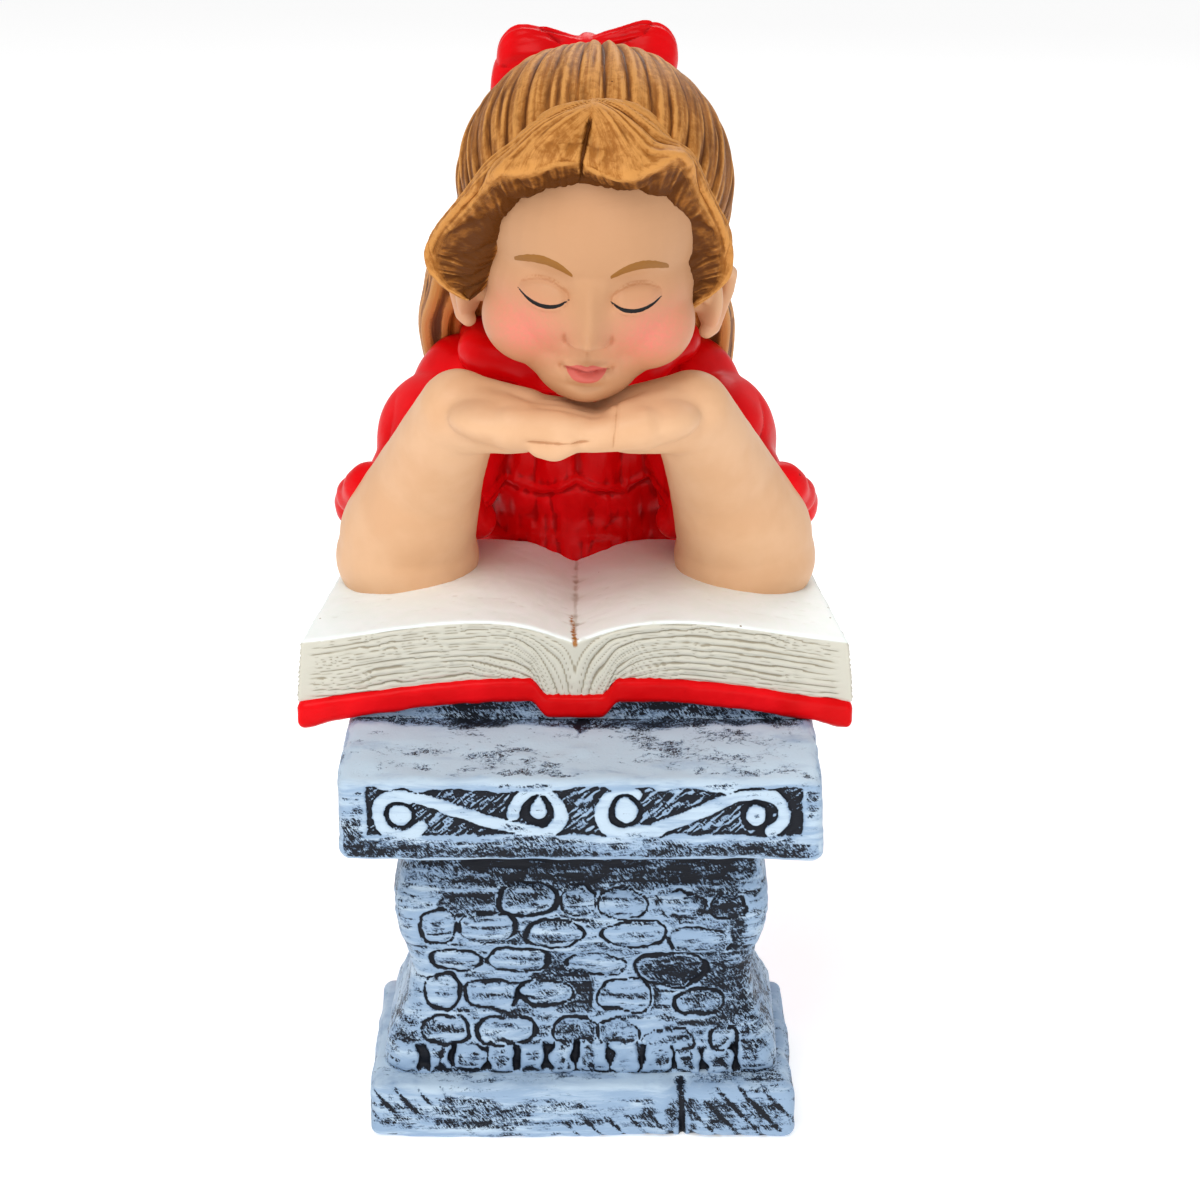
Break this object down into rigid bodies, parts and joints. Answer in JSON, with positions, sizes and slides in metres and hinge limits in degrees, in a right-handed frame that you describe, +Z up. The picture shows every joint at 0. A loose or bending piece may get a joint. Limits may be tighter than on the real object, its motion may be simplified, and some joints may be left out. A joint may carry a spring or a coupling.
{
  "type": "garden statue",
  "caption": "Painted garden statue of a kneeling girl who rests her chin on folded hands over an open book on a carved stone pillar.",
  "frame": {"origin": "middle of the plinth's underside, which it stands on", "axes": "+Z up, -Y the way the girl faces, +X to the right as seen from the front"},
  "size_m": [0.324, 0.4116, 0.6053],
  "materials": {
    "stone_paint": "pale grey-blue paint brushed dry over near-black, satin",
    "skin_paint": "peach paint with blush on the cheeks, satin",
    "hair_paint": "ochre-brown paint with a dark brown glaze in the grooves, satin",
    "red_paint": "crimson paint, slightly glossy",
    "page_paint": "warm off-white paint, satin"
  },
  "bodies": {
    "root": {"girl_statue": "stone_paint"}
  },
  "joints": []
}
